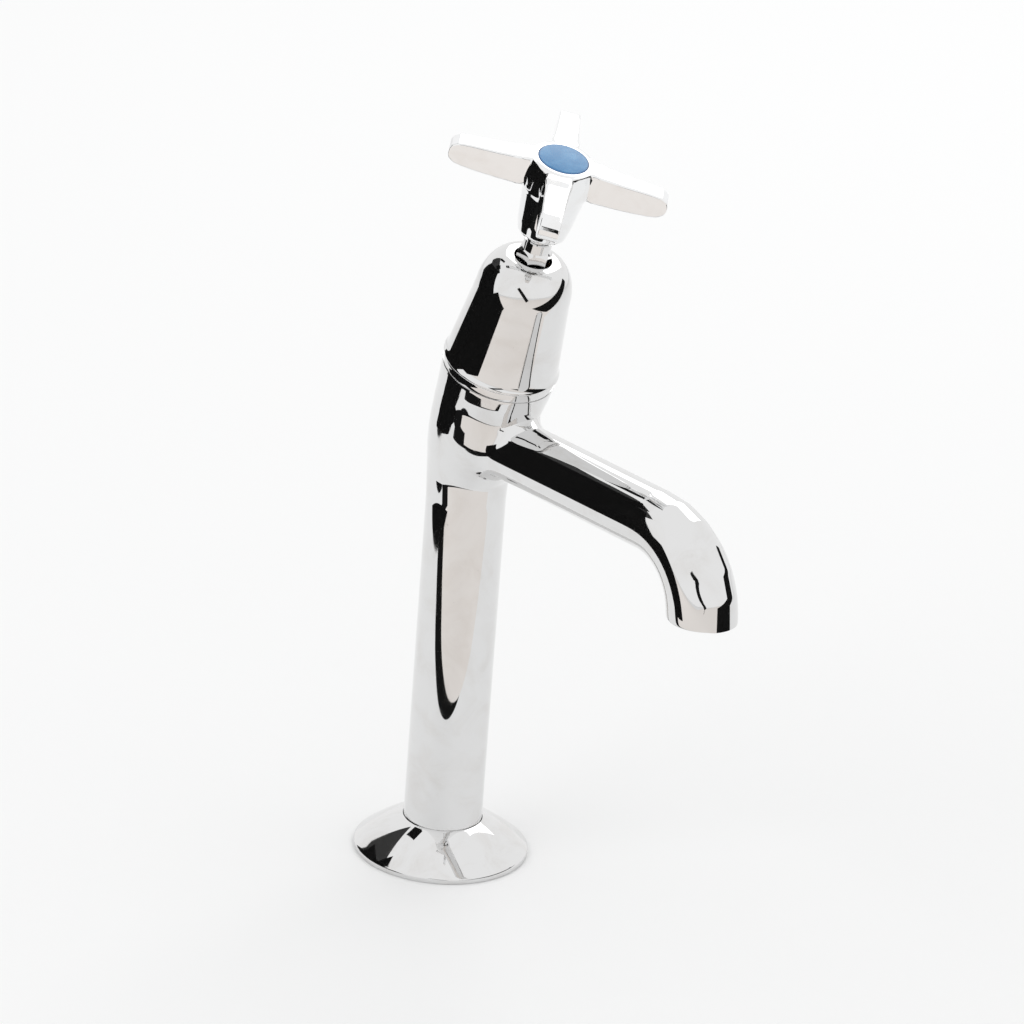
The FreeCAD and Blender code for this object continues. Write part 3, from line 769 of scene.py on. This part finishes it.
def makeChrome(name, look):
    sizes = {"Smear_Size": look["smearSize"], "Spot_Size": look["spotSize"], "Wave_Size": look["waveSize"]}
    material, tree, shader, marks = startMaterial(name, handling, **sizes)
    shader.inputs["Metallic"].default_value = 1.0
    plate = mixColours(tree, marks.outputs["Smear"], look["clean"], look["smeared"])
    tree.links.new(plate, shader.inputs["Base Color"])
    smearRough = rangeOf(tree, marks.outputs["Smear"], *look["roughness"])
    spotRough = rangeOf(tree, marks.outputs["Spots"], 0.0, look["spotRoughness"])
    tree.links.new(addTogether(tree, smearRough, spotRough), shader.inputs["Roughness"])
    bumpFrom(tree, shader, marks.outputs["Waves"], look["waveStrength"], look["waveDepth"])
    return material


castChrome = makeChrome("castChrome", chromePlate)
turnedChrome = makeChrome("turnedChrome", turnedPlate)
# the handle's chrome carries painted extra light from its lighter plate colours
paintedLightHandleChrome = makeChrome("paintedLightHandleChrome", paintedLightHandlePlate)

indexPaint = {
    "middle": (0.026, 0.190, 0.420),
    "clouds": (0.075, 0.270, 0.510),
    "rim": (0.055, 0.150, 0.330),
    "rimStart": 0.0078,                              # metres from the disc's centre
    "rimEnd": 0.0083,
    "roughness": (0.16, 0.34),
    "coat": 0.15,
    "coatRoughness": 0.05,
    "grainDepth": 0.00004,
}


def makeIndexPaint(look):
    material, tree, shader, mottle = startMaterial("indexPaint", grain, Grain_Size=1400.0, Cloud_Size=210.0)
    coordinates = [node for node in tree.nodes if node.bl_idname == "ShaderNodeTexCoord"][0]
    onHead = addNode(tree, "ShaderNodeMapping", vector_type="TEXTURE")
    onHead.inputs["Location"].default_value = headFoot
    onHead.inputs["Rotation"].default_value = (headLean, 0, 0)
    tree.links.new(coordinates.outputs["Object"], onHead.inputs["Vector"])
    flat = addNode(tree, "ShaderNodeVectorMath", operation="MULTIPLY")
    flat.inputs[1].default_value = (1, 1, 0)
    tree.links.new(onHead.outputs["Vector"], flat.inputs[0])
    outwards = addNode(tree, "ShaderNodeVectorMath", operation="LENGTH")
    tree.links.new(flat.outputs["Vector"], outwards.inputs[0])
    rim = rangeOf(tree, outwards.outputs["Value"], 0.0, 1.0, look["rimStart"], look["rimEnd"])
    clouds = rangeOf(tree, mottle.outputs["Cloud"], 0.0, 1.0, 0.44, 0.66)
    paint = addNode(tree, "ShaderNodeMix", data_type="RGBA")
    paint.inputs[7].default_value = (*look["rim"], 1)
    tree.links.new(rim, paint.inputs[0])
    tree.links.new(mixColours(tree, clouds, look["middle"], look["clouds"]), paint.inputs[6])
    tree.links.new(paint.outputs[2], shader.inputs["Base Color"])
    tree.links.new(rangeOf(tree, mottle.outputs["Cloud"], *look["roughness"]), shader.inputs["Roughness"])
    shader.inputs["Coat Weight"].default_value = look["coat"]
    shader.inputs["Coat Roughness"].default_value = look["coatRoughness"]
    bumpFrom(tree, shader, mottle.outputs["Grain"], 0.25, look["grainDepth"])
    return material


indexBlue = makeIndexPaint(indexPaint)

innerLooks = {                                       # colour, second colour, roughness range, metal, grain depth
    "brass": ((0.62, 0.43, 0.17), (0.48, 0.31, 0.12), (0.22, 0.42), 1.0, 0.00003),
    "steel": ((0.58, 0.58, 0.59), (0.44, 0.44, 0.45), (0.24, 0.4), 1.0, 0.00002),
    "rubber": ((0.022, 0.022, 0.023), (0.05, 0.049, 0.048), (0.5, 0.75), 0.0, 0.00008),
    "fibre": ((0.30, 0.055, 0.03), (0.20, 0.04, 0.025), (0.6, 0.85), 0.0, 0.0001),
    "packing": ((0.74, 0.72, 0.67), (0.55, 0.53, 0.48), (0.35, 0.6), 0.0, 0.0001),
    "insert": ((0.62, 0.62, 0.60), (0.50, 0.50, 0.485), (0.3, 0.5), 0.0, 0.00004),
}


def makeInner(name, colour, second, roughness, metal, depth):
    grainSize = 2200.0 if metal else 1500.0
    material, tree, shader, stuff = startMaterial(name, grain, Grain_Size=grainSize, Cloud_Size=240.0)
    shader.inputs["Metallic"].default_value = metal
    clouds = rangeOf(tree, stuff.outputs["Cloud"], 0.0, 1.0, 0.38, 0.66)
    tree.links.new(mixColours(tree, clouds, colour, second), shader.inputs["Base Color"])
    tree.links.new(rangeOf(tree, stuff.outputs["Grain"], *roughness, 0.3, 0.7), shader.inputs["Roughness"])
    bumpFrom(tree, shader, stuff.outputs["Grain"], 0.5, depth)
    return material


slotOf = {row["node"]: row["material_slot"] for row in frame["record"]["subparts"]}
innerMaterials = {name: makeInner(name, *look) for name, look in innerLooks.items()}
dressed = (
    (tapCasting, "tap_body", "root", castChrome),
    (baseFlange, "base_flange", "root", turnedChrome),
    (easyCleanCover, "easy_clean_cover", "root", turnedChrome),
    (coverRing, "cover_ring", "root", turnedChrome),
    (glandNut, "gland_nut", "root", turnedChrome),
    (risingSpindle, "spindle", "handle", turnedChrome),
    (crossHandle, "cross_handle", "handle", paintedLightHandleChrome),
    (indexButton, "index_button", "handle", indexBlue),
)
for piece, node, body, material in dressed:
    piece.data.materials.append(material)
    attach(piece, body)
    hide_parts(node)
for name, node in frame["nodes"].items():
    if not node.hide_render:
        for place in node.material_slots:
            place.material = innerMaterials[slotOf[name]]
print("materials set on", len(dressed), "pieces and", len(frame["nodes"]) - len(dressed), "inner nodes")

camera = {                                           # mm and degrees
    "lookAt": (0, 0, 120.0),
    "azimuth": -42.57,
    "elevation": 23.11,
    "distance": 2309.99,
    "pixels": 6855.18,                               # focal length, in pixels of a frame 1024 wide
    "aside": 15.85,
    "above": 5.83,
    "roll": 4.36,
    "sensor": 36,
    "frame": 1024,
}


def outwardsAt(azimuth, elevation):                  # the direction from the tap towards a place round it
    azimuth, elevation = math.radians(azimuth), math.radians(elevation)
    level = math.cos(elevation)
    return Vector((math.sin(azimuth) * level, -math.cos(azimuth) * level, math.sin(elevation)))


def makeCamera(sizes):
    back = outwardsAt(sizes["azimuth"], sizes["elevation"])
    target = Vector(sizes["lookAt"]) * mm
    place = target + back * sizes["distance"] * mm
    right = (-back).cross(Vector((0, 0, 1))).normalized()
    up = right.cross(-back)
    aim = target + right * sizes["aside"] * mm + up * sizes["above"] * mm
    forward = (aim - place).normalized()
    right = forward.cross(Vector((0, 0, 1))).normalized()
    up = right.cross(forward)
    roll = math.radians(sizes["roll"])
    across = right * math.cos(roll) + up * math.sin(roll)
    top = up * math.cos(roll) - right * math.sin(roll)
    dropSelection()
    bpy.ops.object.camera_add()
    eye = bpy.context.object
    turn = Matrix((across, top, -forward)).transposed().to_4x4()
    eye.matrix_world = Matrix.Translation(place) @ turn
    eye.data.sensor_width = sizes["sensor"]
    eye.data.lens = sizes["pixels"] * sizes["sensor"] / sizes["frame"]
    eye.data.clip_end = 100
    bpy.context.scene.camera = eye


makeCamera(camera)

studio = {                                           # metres and degrees
    "floorSize": 6.0,
    "floorColour": (0.90, 0.90, 0.90),
    "sky": ((-0.10, 0.84), (0.10, 0.82), (0.50, 0.88), (0.95, 0.95)),    # light by the direction's height
    "skyTint": ((1.0, 0.975, 0.955), (0.985, 0.995, 1.0)),               # low down, and overhead
    "white": (1, 1, 1, 1),                           # what the camera and the metal see of it
    "softboxes": (                                   # azimuth, elevation, distance, width, height, watts, mirrored
        (-95, 38, 1.5, 0.9, 0.9, 2.6, False),
        (120, 44, 1.6, 1.1, 0.9, 4.0, True),
    ),
    "flags": (                                       # azimuth, elevation, distance, width, height, roll, tone
        (-140, 10, 0.65, 0.52, 0.68, -20, 0.008),
        (22, -6, 0.36, 1.07, 0.13, -27, 0.010),
        (-142, 43, 1.09, 0.22, 0.20, -71, 0.008),
        (-122, -23, 0.30, 0.44, 0.29, -23, 0.008),
        (-152, 34, 1.50, 1.14, 0.69, 14, 0.050),
        (-43, 10, 0.90, 0.11, 0.62, -36, 0.010),
        (-167, 11, 0.80, 0.25, 0.26, 26, 0.022),
        (-158, 6, 0.54, 0.25, 0.25, -80, 0.008),
        (-124, -14, 0.90, 0.33, 0.31, 42, 0.950),
        (-170, 57, 1.00, 0.12, 0.22, 20, 0.010),
    ),
    "flagCentre": (0, 0, 0.12),
    # on the floor towards the camera: along, away, length, width, turn, lift, colour
    "mats": (
        (0.0, 0.873, 3.0, 1.46, 4.4, 0.002, (0.88, 0.835, 0.80)),
        (-0.45, 0.305, 0.95, 0.5, -9.8, 0.001, (0.01, 0.01, 0.01)),
    ),
}


def aimFrom(azimuth, elevation, distance, roll=0.0):
    away = outwardsAt(azimuth, elevation)
    turn = away.to_track_quat("Z", "Y").to_matrix().to_4x4() @ Matrix.Rotation(math.radians(-roll), 4, "Z")
    return Matrix.Translation(Vector(studio["flagCentre"]) + away * distance) @ turn


def plainStuff(name, colour):
    material = bpy.data.materials.new(name)
    material.use_nodes = True
    shader = material.node_tree.nodes["Principled BSDF"]
    shader.inputs["Base Color"].default_value = (*colour, 1)
    shader.inputs["Roughness"].default_value = 0.9
    shader.inputs["Specular IOR Level"].default_value = 0.0
    return material


# a card that only the metal sees, as a studio's flags and a table's edge show in polished chrome
def hangCard(name, width, height, place, colour):
    dropSelection()
    bpy.ops.mesh.primitive_plane_add(size=1)
    card = bpy.context.object
    card.name = name
    card.scale = (width, height, 1)
    bpy.ops.object.transform_apply(scale=True)
    card.matrix_world = place
    card.data.materials.append(plainStuff(name, colour))
    card.visible_camera = card.visible_diffuse = card.visible_shadow = False


def makeStudio(sizes):
    dropSelection()
    bpy.ops.mesh.primitive_plane_add(size=sizes["floorSize"])
    floor = bpy.context.object
    floor.name = "studioFloor"
    floor.data.materials.append(plainStuff("floorPaper", sizes["floorColour"]))
    for number, (azimuth, elevation, distance, width, height, roll, tone) in enumerate(sizes["flags"], 1):
        place = aimFrom(azimuth, elevation, distance, roll)
        hangCard("flag" + str(number), width, height, place, (tone, tone, tone))
    front = Matrix.Rotation(math.radians(camera["azimuth"]), 4, "Z")
    for number, (along, away, length, width, turn, lift, colour) in enumerate(sizes["mats"], 1):
        place = front @ Matrix.Translation((along, -away, lift)) @ Matrix.Rotation(math.radians(turn), 4, "Z")
        hangCard("mat" + str(number), length, width, place, colour)
    for number, (azimuth, elevation, distance, width, height, watts, mirrored) in enumerate(sizes["softboxes"], 1):
        dropSelection()
        bpy.ops.object.light_add(type="AREA")
        box = bpy.context.object
        box.name = "softbox" + str(number)
        box.matrix_world = aimFrom(azimuth, elevation, distance)
        box.data.shape = "RECTANGLE"
        box.data.size, box.data.size_y = width, height
        box.data.energy = watts
        box.visible_glossy = mirrored


def makeWorld(sizes):
    world = bpy.data.worlds.new("studio")
    bpy.context.scene.world = world
    world.use_nodes = True
    tree = world.node_tree
    background = tree.nodes["Background"]
    coordinates = addNode(tree, "ShaderNodeTexCoord")
    split = addNode(tree, "ShaderNodeSeparateXYZ")
    tree.links.new(coordinates.outputs["Generated"], split.inputs["Vector"])
    upwards = rangeOf(tree, split.outputs["Z"], 0.0, 1.0, -1.0, 1.0)
    ramp = addNode(tree, "ShaderNodeValToRGB")
    lowTint, highTint = (Vector(tint) for tint in sizes["skyTint"])
    heights = sizes["sky"]
    stops = ramp.color_ramp.elements                 # a new ramp has two stops
    for index, (height, level) in enumerate(heights):
        tint = lowTint.lerp(highTint, index / (len(heights) - 1)) * level
        stop = stops[index] if index < 2 else stops.new((height + 1) / 2)
        stop.position = (height + 1) / 2
        stop.color = (*tint, 1)
    tree.links.new(upwards, ramp.inputs["Fac"])
    rays = addNode(tree, "ShaderNodeLightPath")
    seen = addNode(tree, "ShaderNodeMix", data_type="RGBA")
    seen.inputs[7].default_value = sizes["white"]
    toWhite = rays.outputs["Is Camera Ray"]          # the metal shows the same white as the camera sees
    for ray in ("Is Glossy Ray", "Is Transmission Ray"):
        either = addNode(tree, "ShaderNodeMath", operation="MAXIMUM")
        tree.links.new(toWhite, either.inputs[0])
        tree.links.new(rays.outputs[ray], either.inputs[1])
        toWhite = either.outputs[0]
    tree.links.new(toWhite, seen.inputs[0])
    tree.links.new(ramp.outputs["Color"], seen.inputs[6])
    tree.links.new(seen.outputs[2], background.inputs["Color"])


makeStudio(studio)
makeWorld(studio)
bpy.context.scene.view_settings.view_transform = "Standard"
print("studio set")
